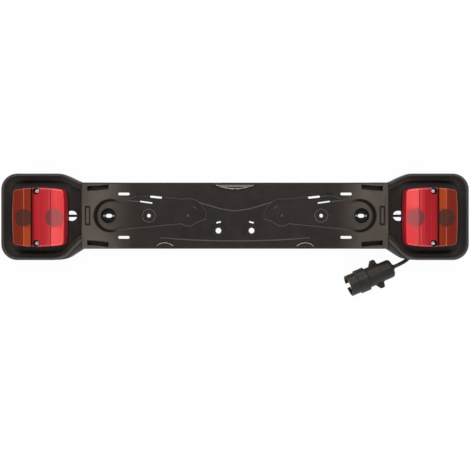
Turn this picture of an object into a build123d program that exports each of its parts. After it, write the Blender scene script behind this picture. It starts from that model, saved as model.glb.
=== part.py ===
from build123d import *
import os
from math import atan, atan2, cos, degrees, pi, radians, sin, tan

# Board outline, seen from the front (millimetres, +X right, +Y up the board, +Z to the front)
board_length = 810.0
tray_length = 137.5
tray_height = 150.0
tray_drop = 2.3
tray_corner_r = 28.0
panel_height = 116.0
neck_run = 30.0
neck_bend_r = 40.0
lower_neck_inset = 12.0
lower_neck_run = 31.0

# Board levels and walls
wall = 3.0
panel_z = 28.0
panel_end_z = 33.0
end_flat = 8.0
end_ramp_run = 72.0
end_ramp_blend_r = 150.0
rim_z = 46.0
rim_width = 4.0
rim_edge_r = 1.9
tray_floor_z = 16.0
dish_slope_run = 9.0
step_draft = 3.5
ledge_z = 30.0
tray_hollow_top = 38.0
panel_edge_r = 2.5

# Pressed shape in the panel, one at each end
pressing_depth = 1.5
pressing_side_angle = 45.0
pressing_end_r = 25.0
pressing_end_inset = 6.0
pressing_end_turn = 100.0
pressing_side_points = [
    (-127.5, -13.2), (-136.0, -16.9), (-145.0, -16.9), (-158.0, -8.8), (-170.0, -5.5), (-170.0, 7.0),
    (-158.0, 23.4), (-145.0, 28.9), (-129.0, 28.0), (-97.0, 31.7), (-50.5, 34.0), (-40.0, 29.0)]

# Cup with an oblong hole
cup_inset = 45.5
cup_r = 13.4
cup_depth = 8.5
cup_lip_width = 2.0
cup_lip_height = 0.8
cup_hole_length = 11.0
cup_hole_width = 6.7
cup_wing_length = 21.0
cup_wing_width = 3.8
cup_wing_depth = 1.0

# Fixing slots and holes
fixing_slot_length = 20.0
fixing_slot_width = 4.7
fixing_slot_inset = 73.0
fixing_slot_spacing_y = 76.0
bolt_hole_r = 3.2
bolt_hole_inset = 71.0
bolt_boss_r = 12.8
bolt_boss_width = 1.8
bolt_boss_height = 1.0
bolt_boss_sides = 8
centre_hole_r = 4.9
centre_hole_spacing = 58.0
centre_hole_y = -26.2
centre_dish_r = 15.0
centre_dish_depth = 1.2
centre_slit = (28.8, -11.6)
centre_slit_size = (8.6, 2.6)
centre_slit_angle = -14.0
wide_tilt_slot_inset = 83.5
wide_tilt_slot_y = 32.5
wide_tilt_slot_size = (21.0, 3.6)
wide_tilt_angle = 5.7
thin_tilt_slot_inset = 66.3
thin_tilt_slot_y = 23.6
thin_tilt_slot_size = (22.0, 2.4)
thin_tilt_angle = 8.0
blind_slot_inset = 57.5
blind_slot_y = 37.0
blind_slot_size = (15.0, 4.4)
blind_slot_depth = 1.4

# Raised lines and pips
line_width = 2.4
line_height = 0.8
line_side_angle = 50.0
lower_line_half = 131.0
lower_line_end_y = -39.0
lower_line_mid_y = -44.3
wing_line_start = (-158.0, 23.4)
wing_line_bend = (25.0, 11.8)
wing_line_mid_y = 8.2
pip_r = 2.2
pip_height = 1.4
pip_inset = 140.0
shoulder_line_start = (-6.0, 29.2)
shoulder_line_end = (-56.0, 24.4)
tick_place = (70.9, 14.3)
tick_angle = 42.0
tick_length = 8.0
top_pip_y = 40.6

# Number-plate clips
clip_height = 5.5
clip_gap = 2.6
clip_root = 3.0
clip_edge_r = 1.2
top_clip_half = 37.0
top_clip_y = 54.8
top_clip_depth = 8.6
low_clip_x = 122.5
low_clip_half = 16.5
low_clip_y = -54.3
low_clip_depth = 7.4

# Strap slots near the panel's edges
strap_slot_outer_inset = 9.5
strap_slot_bend_inset = 27.5
strap_slot_inner_inset = 46.5
strap_slot_outer_y = 43.0
strap_slot_bend_y = 43.8
strap_slot_inner_y = 46.0
strap_slot_width = 8.8
strap_slot_floor_z = 15.0
strap_slot_wall = 2.0
strap_window_height = 9.0
strap_window_margin = 3.5

# Grooved finger pads beside the trays
pad_inset = 10.2
pad_width = 10.0
pad_length = 34.5
pad_corner_r = 2.0
pad_depth = 1.8
pad_strip_width = 4.4
pad_strip_length = 27.5

# Opening in the tray floor beside the lamp
tray_hole_offset = 11.0
tray_hole_length = 19.5
tray_hole_width = 17.6
tray_hole_bar = 4.4

# Ribs and cable clips behind the panel
rib_thickness = 2.4
rib_bottom_z = 21.6
rib_middle_places = [52.0, 105.0]
rib_end_insets = [95.5, 22.5]
hook_places = [-140.0, -70.0, 0.0, 140.0]
hook_length = 6.0
hook_wall = 2.2

# Lamp, right-hand one
lamp_inset = 65.5
lamp_y = -3.2
lens_half_width = 47.1
lens_half_height = 53.5
lens_inner_bow = 1.5
lens_outer_bow = 2.5
lens_end_bow = 4.5
lens_corner_r = 8.0
lens_draft_angle = 5.0
lens_top_z = 58.0
lens_crown_r = 270.0
lens_edge_r = 3.0
lens_wall = 2.5
lens_flute_pitch = 5.0
lens_flute_width = 2.0
lens_flute_depth = 0.8
lens_flute_drop = 14.0
divider_x = 10.5
divider_wall = 1.6
divider_gap = 0.8
lamp_base_height = 9.0
lamp_base_floor = 3.0
lamp_base_wall = 3.0
gasket_thickness = 1.5
gasket_width = 3.0
lens_screw_x = 2.1
lens_screw_y = 45.0
lens_screw_head_r = 3.3
lens_screw_head_height = 2.6
lens_screw_r = 1.75
lens_screw_length = 12.0
screw_recess_r = 5.4
screw_recess_depth = 10.0
screw_post_r = 3.1

# Bulbs, holders and reflector
bulb_y = -0.3
stop_bulb_x = -25.7
indicator_bulb_x = 27.6
bulb_cap_r = 7.5
bulb_cap_length = 11.0
bulb_glass_r = 11.0
bulb_height = 31.0
holder_wall = 1.2
holder_height = 10.0
holder_floor = 1.4
reflector_plate = 1.8
reflector_gap = 0.5
reflector_bowl_r = 13.4
reflector_bowl_height = 5.0
reflector_bowl_wall = 1.4
reflector_ledge = 2.0

# Lamp bolts and nuts
lamp_bolt_x = 28.5
lamp_bolt_spacing = 63.0
lamp_bolt_r = 2.5
lamp_bolt_head_r = 4.5
lamp_bolt_head_height = 2.6
lamp_bolt_tail = 7.0
lamp_nut_width = 8.0
lamp_nut_height = 4.0
lamp_nut_flange_r = 6.0
lamp_nut_flange = 1.0

# Wiring spout behind each lamp and its grommets
spout_length = 32.0
spout_width = 24.0
spout_y = 3.2
spout_wall = 2.0
spout_bottom_z = 0.6
grommet_spread = 13.0
grommet_neck_r = 4.5
grommet_flange_r = 5.6
grommet_flange = 1.4
cable_entry_z = 6.6

# Cables
cord_d = 6.5
cord_bend_share = 0.45
coil_x = 81.0
coil_r = 36.0
coil_bottom_z = 1.5
coil_tail = 29.0
tie_width = 6.0
tie_thickness = 1.2
link_z = 17.9
link_y = 14.0
cord_notch_offset = 40.5
cord_notch_width = 22.0
cord_notch_height = 12.5

# Plug, measured back from its front face along its axis
plug_x = 199.2
plug_y = -123.5
plug_yaw = 202.5
plug_shroud_r = 18.75
plug_shroud_length = 16.0
plug_shroud_wall = 2.4
plug_collar_r = 21.0
plug_collar_end = 34.0
plug_collar_front_slope = 1.5
plug_collar_back_slope = 2.5
plug_body_r = 17.5
plug_body_end = 62.0
plug_body_wall = 2.6
plug_notch_width = 8.0
plug_notch_length = 12.0
plug_ear_reach = 26.0
plug_ear_thickness = 8.0
plug_ear_start = 45.5
plug_ear_tip_start = 52.0
plug_ear_tip_end = 59.0
plug_ear_end = 61.0
plug_ear_tip_r = 2.4
plug_ear_root = 1.0
insert_face = 17.0
insert_thickness = 12.0
pin_r = 2.4
pin_circle_r = 10.2
pin_tip = 4.0
pin_tail = 4.0
pin_ring_count = 6
cap_r = 16.4
cap_length = 22.0
cap_straight = 17.0
cap_end_r = 11.0
cap_floor = 5.0
cap_wall = 2.6
seal_length = 8.0
seal_r = 6.0
seal_tip_r = 4.4

# Clearances
slide_gap = 0.3
fit_gap = 0.1

# How close a point counts as on a line or a level
near = 0.1

half_length = board_length / 2
step_x = half_length - tray_length
tray_top = tray_height / 2 - tray_drop
tray_bottom = -tray_height / 2 - tray_drop
panel_half = panel_height / 2
inboard = 40.0
beyond = 20.0
pressing_z = panel_z - pressing_depth
cup_x = step_x - cup_inset
lamp_x = half_length - lamp_inset
cord_r = cord_d / 2


def prism(points, depth):
    """Solid with an outline drawn in XZ, as deep each way along Y."""
    return extrude(Plane.XZ * make_face(Polyline(*points, close=True)), amount=depth, both=True)


def rod(x, y, bottom, top, radius):
    """Upright cylinder."""
    return Pos(x, y, bottom) * Cylinder(radius, top - bottom, align=(Align.CENTER, Align.CENTER, Align.MIN))


def block(x, y, z):
    """Box from its three pairs of limits."""
    low = (Align.MIN, Align.MIN, Align.MIN)
    return Pos(x[0], y[0], z[0]) * Box(x[1] - x[0], y[1] - y[0], z[1] - z[0], align=low)


def raised(sketch, bottom, top):
    """Sketch drawn up from one level to another."""
    return extrude(Pos(0, 0, bottom) * sketch, amount=top - bottom)


def both_sides(shape):
    """A right-hand shape with its left-hand twin."""
    return [shape, mirror(shape, about=Plane.YZ)]


# Trays

def tray_face(neck_y, neck_reach):
    """Right tray from the front; its inner end runs on under the panel."""
    bends = [(step_x + neck_run, tray_top), (step_x + neck_reach, tray_bottom)]
    corners = [(half_length, tray_top), (half_length, tray_bottom)]
    face = make_face(Polyline(
        (step_x - inboard, panel_half), (step_x, panel_half), bends[0], corners[0],
        corners[1], bends[1], (step_x, -neck_y), (step_x - inboard, -neck_y), close=True))

    def rounded(shape, places, radius):
        chosen = [v for v in shape.vertices() if min((v.center() - Vector(*p)).length for p in places) < near]
        return fillet(chosen, radius)

    return rounded(rounded(face, corners, tray_corner_r), bends, neck_bend_r)


def dish(face, top_inset, floor_z):
    """Hollow with sloping sides, from the rim down to a floor."""
    top = Pos(0, 0, rim_z) * offset(face, -top_inset)
    floor = Pos(0, 0, floor_z) * offset(face, -top_inset - dish_slope_run)
    return loft([floor, top], ruled=True)


def outboard(shift):
    """Everything outside the panel's end wall, with the wall moved inward by a shift."""
    foot = step_x + step_draft - shift
    head = step_x - shift
    far = half_length + beyond
    top = rim_z + beyond
    return prism([(foot, 0), (foot, tray_floor_z), (head, panel_end_z), (head, top), (far, top), (far, 0)],
                 tray_height)


outline = tray_face(panel_half, neck_run)
rim_outline = tray_face(panel_half - lower_neck_inset, lower_neck_run)
outside_step = block((step_x, half_length + beyond), (-tray_height, tray_height), (-beyond, rim_z + beyond))

tray_dish = dish(rim_outline, rim_width, tray_floor_z)
tray_ring = raised(rim_outline, 0, rim_z) - tray_dish
tray_ring = fillet([e for e in tray_ring.edges() if e.bounding_box().min.Z > rim_z - near], rim_edge_r)
tray_solid = (tray_ring + (raised(outline, 0, ledge_z) - raised(rim_outline, 0, ledge_z))) & outside_step
tray_air = tray_dish & outboard(0)
tray_air_and_wall = dish(rim_outline, rim_width - wall, tray_floor_z - wall) & outboard(wall)
tray_hollow = raised(offset(outline, -wall), 0, ledge_z - wall)
tray_hollow += raised(offset(rim_outline, -wall), 0, tray_hollow_top)
tray_hollow &= Pos(wall, 0, 0) * outside_step
tray_ledge = raised(outline - offset(rim_outline, -wall), ledge_z - wall, ledge_z)
tray_ledge &= outside_step


# Centre panel

def panel_profile(drop, end_points):
    """Long section of the panel, its ends rising towards the trays."""
    ramp_top = (step_x - end_flat, panel_end_z - drop)
    ramp_foot = (step_x - end_flat - end_ramp_run, panel_z - drop)
    right = [(end_points[0][0], 0)] + end_points + [ramp_top, ramp_foot]
    left = [(-x, z) for x, z in reversed(right)]
    face = make_face(Polyline(*right, *left, close=True))
    bends = (ramp_foot[0], ramp_top[0])
    soft = [v for v in face.vertices() if min(abs(abs(v.X) - x) for x in bends) < near]
    return fillet(soft, end_ramp_blend_r)


step_foot_x = step_x + step_draft
panel_face = panel_profile(0, [(step_foot_x, tray_floor_z), (step_x, panel_end_z)])
panel = extrude(Plane.XZ * panel_face, amount=panel_half, both=True)
panel_rims = [e for e in panel.edges()
              if abs(abs(e.center().Y) - panel_half) < near and e.bounding_box().min.Z > panel_z - near]
panel = fillet(panel_rims, panel_edge_r)
hollow_end = step_foot_x + wall
hollow_face = panel_profile(wall, [(hollow_end, panel_end_z - wall)])
panel_hollow = extrude(Plane.XZ * hollow_face, amount=panel_half - wall, both=True)


def pressing_face():
    """Outline of the pressed shape: round at the cup, a long waist, a knob near the middle."""
    turn = radians(pressing_end_turn)
    end_x = cup_x - pressing_end_inset
    top = (end_x + pressing_end_r * cos(turn), pressing_end_r * sin(turn))
    low = (top[0], -top[1])
    end = ThreePointArc(top, (end_x + pressing_end_r, 0), low)
    sides = Polyline(low, *[(cup_x + x, y) for x, y in pressing_side_points], top)
    return make_face([end, sides])


def pressing(grow, drop):
    """The pressed shape as a solid with sloping sides, made larger all round by a wall."""
    face = pressing_face() if grow == 0 else offset(pressing_face(), grow, kind=Kind.INTERSECTION)
    height = panel_end_z - pressing_z + drop + line_height
    return extrude(Pos(0, 0, pressing_z - drop) * face, amount=height, taper=-pressing_side_angle)


cup_floor_z = pressing_z - cup_depth
strap_slot_inner_x = step_x - strap_slot_inner_inset
strap_slot_outer_x = step_x - strap_slot_outer_inset


def strap_slot(grow):
    """Bent slot near the panel's edge, seen from the front."""
    xs = [strap_slot_inner_x - grow, step_x - strap_slot_bend_inset, strap_slot_outer_x + grow]
    ys = [strap_slot_inner_y, strap_slot_bend_y, strap_slot_outer_y]
    lower = [(x, y - grow) for x, y in zip(xs, ys)]
    upper = [(x, y + strap_slot_width + grow) for x, y in zip(xs, ys)]
    return make_face(Polyline(*lower, *reversed(upper), close=True))


def strap_slot_pair(grow, bottom):
    """Slots at the top and the bottom edge."""
    top_slot = raised(strap_slot(grow), bottom, panel_end_z + beyond)
    return [top_slot, mirror(top_slot, about=Plane.XZ)]


strap_window = block(
    (strap_slot_inner_x + strap_window_margin, strap_slot_outer_x - strap_window_margin),
    (strap_slot_inner_y, panel_half + beyond),
    (strap_slot_floor_z, strap_slot_floor_z + strap_window_height))


def cable_hook(x):
    """J-shaped hook under the panel that carries the cable between the lamps."""
    room = cord_r + slide_gap
    back = link_y - room
    under = link_z - room
    ends = (x - hook_length / 2, x + hook_length / 2)
    upright = block(ends, (back - hook_wall, back), (under - hook_wall, panel_z))
    lip = block(ends, (back - hook_wall, link_y + room), (under - hook_wall, under))
    return upright + lip


def rib(x):
    """Cross rib under the panel."""
    ends = (x - rib_thickness / 2, x + rib_thickness / 2)
    return block(ends, (-panel_half, panel_half), (rib_bottom_z, panel_end_z))


def clip(face, root_side, gap_depth):
    """Lip that holds a plate's edge: a raised shape with a gap under its free side."""
    lip = raised(face, panel_z, panel_z + clip_height)
    top_edges = [e for e in lip.edges() if e.bounding_box().min.Z > panel_z + clip_height - near]
    lip = fillet(top_edges, clip_edge_r)
    box = lip.bounding_box()
    if root_side > 0:
        reach = (box.min.Y - clip_gap, box.min.Y + gap_depth)
    else:
        reach = (box.max.Y - gap_depth, box.max.Y + clip_gap)
    return lip - block((box.min.X, box.max.X), reach, (panel_z, panel_z + clip_gap))


def bow(left, middle, right):
    """Area between an arc and its chord."""
    return make_face([ThreePointArc(left, middle, right), Line(right, left)])


top_clip_face = bow(
    (-top_clip_half, top_clip_y), (0, top_clip_y - top_clip_depth), (top_clip_half, top_clip_y))
low_clip_face = bow(
    (low_clip_x - low_clip_half, low_clip_y), (low_clip_x, low_clip_y + low_clip_depth),
    (low_clip_x + low_clip_half, low_clip_y))
top_clip = clip(top_clip_face, 1, top_clip_depth - clip_root)
low_clip = clip(low_clip_face, -1, low_clip_depth - clip_root)


def slot_cut(place, size, angle, bottom):
    """Slot with round ends, cut down from the front."""
    return raised(Pos(*place) * Rot(0, 0, angle) * SlotOverall(*size), bottom, panel_end_z + beyond)


def ridge(place, angle, length, bottom):
    """Straight low ridge with sloping sides."""
    bar = Pos(place[0], place[1], bottom) * Rot(0, 0, angle) * Rectangle(length, line_width)
    return extrude(bar, amount=line_height, taper=line_side_angle)


def ridge_between(start, end, bottom):
    """Ridge from one point to another, running a little past both."""
    run = Vector(*end) - Vector(*start)
    middle = Vector(*start) + run / 2
    return ridge((middle.X, middle.Y), degrees(atan2(run.Y, run.X)), run.length + line_width, bottom)


def curved_ridge(left, middle, right):
    """Ridge of the same section along a wide arc on the panel."""
    path = Pos(0, 0, panel_z) * ThreePointArc(left, middle, right)
    foot = line_width / 2
    crest = foot - line_height * tan(radians(line_side_angle))
    section = make_face(Polyline(
        (0, -foot), (line_height, -crest), (line_height, crest), (0, foot), close=True))
    return sweep(Plane(path @ 0, x_dir=(0, 0, 1), z_dir=path % 0) * section, path=path)


lower_line = curved_ridge(
    (-lower_line_half, lower_line_end_y), (0, lower_line_mid_y), (lower_line_half, lower_line_end_y))
wing_points = [(cup_x + wing_line_start[0], wing_line_start[1]), wing_line_bend, (0, wing_line_mid_y)]
wing_line = [ridge_between(start, end, panel_z) for start, end in zip(wing_points, wing_points[1:])]
shoulder_line = Pos(cup_x, 0, 0) * ridge_between(shoulder_line_start, shoulder_line_end, pressing_z)

boss = RegularPolygon(bolt_boss_r, bolt_boss_sides)
boss -= RegularPolygon(bolt_boss_r - bolt_boss_width, bolt_boss_sides)
bolt_x = cup_x - bolt_hole_inset
centre_x = centre_hole_spacing / 2
slot_x = step_x - fixing_slot_inset
slot_y = fixing_slot_spacing_y / 2
wide_tilt_slot = (cup_x - wide_tilt_slot_inset, wide_tilt_slot_y)
thin_tilt_slot = (cup_x - thin_tilt_slot_inset, thin_tilt_slot_y)
blind_slot = (cup_x - blind_slot_inset, blind_slot_y)
through = -beyond
above = panel_end_z + beyond

# Lamp places
lamp_bolt_y = lamp_bolt_spacing / 2
lamp_bolts_at = [(lamp_x + lamp_bolt_x, lamp_y + side * lamp_bolt_y) for side in (-1, 1)]
spout_limits = ((lamp_x - spout_length / 2, lamp_x + spout_length / 2),
                (lamp_y + spout_y - spout_width / 2, lamp_y + spout_y + spout_width / 2))


def tray_openings():
    """Cuts through a tray's floor: the barred opening, the spout's and the bolts' holes."""
    opening = SlotOverall(tray_hole_length, tray_hole_width) - Rectangle(tray_hole_length, tray_hole_bar)
    cuts = [raised(Pos(step_x + tray_hole_offset + tray_hole_length / 2, 0) * opening, 0, panel_z)]
    (x0, x1), (y0, y1) = spout_limits
    cuts.append(block((x0 - slide_gap, x1 + slide_gap), (y0 - slide_gap, y1 + slide_gap), (0, panel_z)))
    cuts += [rod(x, y, 0, panel_z, lamp_bolt_r + slide_gap) for x, y in lamp_bolts_at]
    return cuts


def board_shell():
    """The whole moulding."""
    hollow = panel_hollow + both_sides(tray_hollow)
    keep = [tray_air_and_wall, tray_ledge, pressing(wall, wall)]
    keep.append(rod(cup_x, 0, cup_floor_z - wall, above, cup_r + wall))
    keep += strap_slot_pair(strap_slot_wall, strap_slot_floor_z - strap_slot_wall)
    keep += [rib(x) for x in rib_middle_places + [step_x - inset for inset in rib_end_insets]]
    for shape in keep:
        hollow -= both_sides(shape)
    hollow -= [cable_hook(x) for x in hook_places]

    shell = panel + both_sides(tray_solid)
    shell -= both_sides(tray_air)
    shell -= hollow
    shell -= both_sides(pressing(0, 0))

    lip = rod(cup_x, 0, pressing_z - wall, pressing_z + cup_lip_height, cup_r + cup_lip_width)
    additions = [lip, raised(Pos(bolt_x, 0) * boss, pressing_z, pressing_z + bolt_boss_height)]
    additions += [rod(cup_x - pip_inset, 0, pressing_z, pressing_z + pip_height, pip_r), low_clip]
    additions.append(ridge(tick_place, tick_angle, tick_length, pressing_z))
    additions += wing_line + [shoulder_line]
    for shape in additions:
        shell += both_sides(shape)
    shell += [top_clip, lower_line, rod(0, top_pip_y, panel_z, panel_z + pip_height, pip_r)]

    cuts = [rod(cup_x, 0, cup_floor_z, above, cup_r)]
    cuts.append(raised(Pos(cup_x, 0) * SlotOverall(cup_hole_length, cup_hole_width), through, above))
    cuts.append(raised(Pos(cup_x, 0) * SlotOverall(cup_wing_length, cup_wing_width),
                       cup_floor_z - cup_wing_depth, above))
    for y in (slot_y, -slot_y):
        cuts.append(slot_cut((slot_x, y), (fixing_slot_length, fixing_slot_width), 0, through))
    cuts.append(rod(bolt_x, 0, through, above, bolt_hole_r))
    cuts.append(Pos(centre_x, centre_hole_y, panel_z) * Cone(
        centre_dish_r - centre_dish_depth, centre_dish_r, 2 * centre_dish_depth))
    cuts.append(rod(centre_x, centre_hole_y, through, above, centre_hole_r))
    cuts.append(slot_cut(centre_slit, centre_slit_size, centre_slit_angle, through))
    cuts.append(slot_cut(wide_tilt_slot, wide_tilt_slot_size, wide_tilt_angle, through))
    cuts.append(slot_cut(thin_tilt_slot, thin_tilt_slot_size, thin_tilt_angle, through))
    cuts.append(slot_cut(blind_slot, blind_slot_size, 0, panel_z - blind_slot_depth))
    cuts += strap_slot_pair(0, strap_slot_floor_z)
    cuts += [strap_window, mirror(strap_window, about=Plane.XZ)]
    pad = RectangleRounded(pad_width, pad_length, pad_corner_r)
    pad -= RectangleRounded(pad_strip_width, pad_strip_length, pad_corner_r)
    cuts.append(raised(Pos(step_x - pad_inset, 0) * pad, panel_end_z - pad_depth, above))
    cuts += tray_openings()
    for shape in cuts:
        shell -= both_sides(shape)
    notch_middle = step_x + cord_notch_offset
    notch_x = (notch_middle - cord_notch_width / 2, notch_middle + cord_notch_width / 2)
    return shell - block(notch_x, (tray_bottom - beyond, tray_bottom + 2 * wall), (0, cord_notch_height))


# Lamps, made right-handed

base_top = tray_floor_z + lamp_base_height
base_floor = tray_floor_z + lamp_base_floor
lens_bottom = base_top + gasket_thickness
split_x = lamp_x + divider_x
recess_floor = lens_top_z - screw_recess_depth
post_top = recess_floor - lens_wall - fit_gap
lens_screws_at = [(lamp_x + lens_screw_x, lamp_y + side * lens_screw_y) for side in (-1, 1)]
reflector_seat = base_top - reflector_plate
bulbs_at = {"stop_tail": lamp_x + stop_bulb_x, "indicator": lamp_x + indicator_bulb_x}
bulb_at_y = lamp_y + bulb_y
holder_r = bulb_cap_r + fit_gap + holder_wall


def lens_face(inset):
    """Bowed outline of the lamp, smaller all round by an inset."""
    inner = -lens_half_width + lens_inner_bow
    outer = lens_half_width - lens_outer_bow
    end = lens_half_height - lens_end_bow
    middle = (inner + outer) / 2
    face = make_face([
        ThreePointArc((inner, end), (middle, lens_half_height), (outer, end)),
        ThreePointArc((outer, end), (lens_half_width, 0), (outer, -end)),
        ThreePointArc((outer, -end), (middle, -lens_half_height), (inner, -end)),
        ThreePointArc((inner, -end), (-lens_half_width, 0), (inner, end))])
    core = offset(face, -lens_corner_r)
    return Pos(lamp_x, lamp_y) * offset(core, lens_corner_r - inset)


def lens_body(inset):
    """Drafted block with a crowned top, rounded along its upper edge."""
    height = lens_top_z - lens_bottom
    draft = height * tan(radians(lens_draft_angle))
    body = loft([Pos(0, 0, lens_bottom) * lens_face(inset), Pos(0, 0, lens_top_z) * lens_face(inset + draft)],
                ruled=True)
    crown = Pos(lamp_x, lamp_y, lens_top_z - inset - lens_crown_r) * Rot(90, 0, 0) * Cylinder(
        lens_crown_r, 3 * lens_half_height)
    body &= crown
    upper = [e for e in body.edges() if e.bounding_box().min.Z > lens_bottom + height / 2]
    return fillet(upper, lens_edge_r - inset / 2)


def screw_recess(grow):
    """Round pockets in the lens over the screws."""
    bottom = recess_floor - grow
    return [rod(x, y, bottom, lens_top_z + beyond, screw_recess_r + grow) for x, y in lens_screws_at]


def lens_pair():
    """The red and the amber window, each closed at the line between them."""
    inner = lens_body(lens_wall)
    inner -= screw_recess(lens_wall)
    count = int(2 * lens_half_width / lens_flute_pitch)
    first = lamp_x - (count - 1) / 2 * lens_flute_pitch
    band = inner - lens_body(lens_wall + lens_flute_depth)
    half = lens_flute_width / 2
    flutes = []
    for i in range(count):
        x = first + i * lens_flute_pitch
        flutes.append(block((x - half, x + half), (lamp_y - lens_half_height, lamp_y + lens_half_height),
                            (lens_top_z - lens_flute_drop, lens_top_z)))
    inner -= band & flutes
    divider_half = divider_wall + divider_gap / 2
    divider = (split_x - divider_half, split_x + divider_half)
    inner -= block(divider, (-tray_height, tray_height), (0, lens_top_z))
    glass = lens_body(0) - screw_recess(0) - inner
    glass -= [rod(x, y, lens_bottom, lens_top_z, lens_screw_r + slide_gap) for x, y in lens_screws_at]
    above_lens = lens_top_z + beyond
    gap = (split_x - divider_gap / 2, split_x + divider_gap / 2)
    glass -= block(gap, (-tray_height, tray_height), (0, above_lens))
    amber_side = block((split_x, half_length), (-tray_height, tray_height), (0, above_lens))
    return glass - amber_side, glass & amber_side


def lamp_base(cable_places):
    """Backing with a ledge for the reflector, posts for the screws and a wiring spout."""
    base = raised(lens_face(0), tray_floor_z, base_top)
    base -= raised(lens_face(lamp_base_wall), reflector_seat, base_top)
    base -= raised(lens_face(lamp_base_wall + reflector_ledge), base_floor, base_top)
    base += [rod(x, y, base_floor - fit_gap, post_top, screw_post_r) for x, y in lens_screws_at]
    screw_tip = recess_floor - lens_screw_length
    base -= [rod(x, y, screw_tip - fit_gap, post_top, lens_screw_r + fit_gap) for x, y in lens_screws_at]
    base -= [rod(x, y, 0, base_floor, lamp_bolt_r + slide_gap) for x, y in lamp_bolts_at]
    (x0, x1), (y0, y1) = spout_limits
    base += block((x0, x1), (y0, y1), (spout_bottom_z, base_floor))
    base -= block((x0 + spout_wall, x1 - spout_wall), (y0 + spout_wall, y1 - spout_wall), (0, base_top))
    for x in cable_places:
        base -= Pos(x, y1, cable_entry_z) * Rot(90, 0, 0) * Cylinder(grommet_neck_r + fit_gap, 3 * spout_wall)
    return base


def reflector():
    """Plate on the base's ledge with a bowl round each bulb."""
    plate = raised(lens_face(lamp_base_wall + reflector_gap), reflector_seat, base_top)
    opening = holder_r + reflector_gap
    low = (Align.CENTER, Align.CENTER, Align.MIN)
    for x in bulbs_at.values():
        place = Pos(x, bulb_at_y, base_top)
        outer = Cone(opening + reflector_bowl_wall, reflector_bowl_r + reflector_bowl_wall,
                     reflector_bowl_height, align=low)
        plate += place * outer
        plate -= place * Cone(opening, reflector_bowl_r, reflector_bowl_height, align=low)
        plate -= rod(x, bulb_at_y, reflector_seat, base_top, opening)
    post_room = screw_post_r + reflector_gap
    return plate - [rod(x, y, reflector_seat, base_top, post_room) for x, y in lens_screws_at]


def bulb(x):
    """Bayonet bulb: metal cap, short neck and round glass, one sealed piece."""
    cap_bottom = base_floor + holder_floor
    glass_z = cap_bottom + bulb_height - bulb_glass_r
    cap = rod(x, bulb_at_y, cap_bottom, cap_bottom + bulb_cap_length, bulb_cap_r)
    neck = rod(x, bulb_at_y, cap_bottom, glass_z, bulb_cap_r - holder_floor)
    return cap + neck + Pos(x, bulb_at_y, glass_z) * Sphere(bulb_glass_r)


def bulb_holder(x):
    """Cup that the bulb's cap sits in."""
    cup = rod(x, bulb_at_y, base_floor, base_floor + holder_height, holder_r)
    return cup - rod(x, bulb_at_y, base_floor + holder_floor, base_top + holder_height, bulb_cap_r + fit_gap)


def lens_screw(x, y):
    """Pan-head screw through the lens into its post."""
    head = rod(x, y, recess_floor, recess_floor + lens_screw_head_height, lens_screw_head_r)
    crown_edges = head.edges().group_by(Axis.Z)[-1]
    head = fillet(crown_edges, lens_screw_head_height / 3)
    return head + rod(x, y, recess_floor - lens_screw_length, recess_floor, lens_screw_r)


def lamp_bolt(x, y):
    """Bolt with its head inside the base."""
    head = rod(x, y, base_floor, base_floor + lamp_bolt_head_height, lamp_bolt_head_r)
    return head + rod(x, y, lamp_bolt_tail, base_floor, lamp_bolt_r)


def lamp_nut(x, y):
    """Flanged nut behind the tray floor."""
    seat = tray_floor_z - wall
    across_corners_r = lamp_nut_width / 2 / cos(radians(30))
    nut = rod(x, y, seat - lamp_nut_flange, seat, lamp_nut_flange_r)
    hexagon = Pos(x, y) * RegularPolygon(across_corners_r, 6)
    nut += raised(hexagon, seat - lamp_nut_flange - lamp_nut_height, seat)
    return nut - rod(x, y, 0, seat, lamp_bolt_r + fit_gap)


def grommet(x):
    """Rubber bush in the spout's wall."""
    outer_face = spout_limits[1][1]
    neck = Cylinder(grommet_neck_r, spout_wall)
    flange = Cylinder(grommet_flange_r, grommet_flange)
    apart = (spout_wall + grommet_flange) / 2
    body = neck + [Pos(0, 0, apart) * flange, Pos(0, 0, -apart) * flange]
    body -= Cylinder(cord_r + fit_gap, 2 * spout_wall + 2 * grommet_flange)
    return Pos(x, outer_face - spout_wall / 2, cable_entry_z) * Rot(90, 0, 0) * body


link_entry_x = lamp_x - grommet_spread / 2
main_entry_x = lamp_x + grommet_spread / 2


# Plug place: its axis along X and its front face at the origin before it is laid down

cap_shoulder = plug_body_end + cap_straight
plug_pitch = atan((plug_collar_r - cap_r) / (cap_shoulder - plug_collar_end))
plug_front_z = plug_collar_end * sin(plug_pitch) + plug_collar_r * cos(plug_pitch)
plug_place = Pos(plug_x, plug_y, plug_front_z) * Rot(0, 0, plug_yaw) * Rot(0, -degrees(plug_pitch), 0)
cap_end = plug_body_end + cap_length
insert_back = insert_face + insert_thickness
insert_r = plug_shroud_r - plug_shroud_wall - fit_gap
cap_bore_r = seal_r + fit_gap


def on_plug_axis(back):
    """Point behind the plug's front face."""
    return tuple((plug_place * Pos(-back, 0, 0)).position)


# Cables

def cable(points):
    """Round cable along straight runs joined by the widest arcs they allow."""
    radii = []
    for before, corner, after in zip(points, points[1:], points[2:]):
        into = Vector(*corner) - Vector(*before)
        out = Vector(*after) - Vector(*corner)
        turn = radians(into.get_angle(out))
        radii.append(cord_bend_share * min(into.length, out.length) / tan(turn / 2))
    path = FilletPolyline(*points, radius=radii)
    return sweep(Plane(path @ 0, z_dir=path % 0) * Circle(cord_r), path=path)


low_turn_z = coil_bottom_z + cord_r
high_turn_z = coil_bottom_z + 3 * cord_r
tail_x = coil_x + coil_tail

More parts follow.
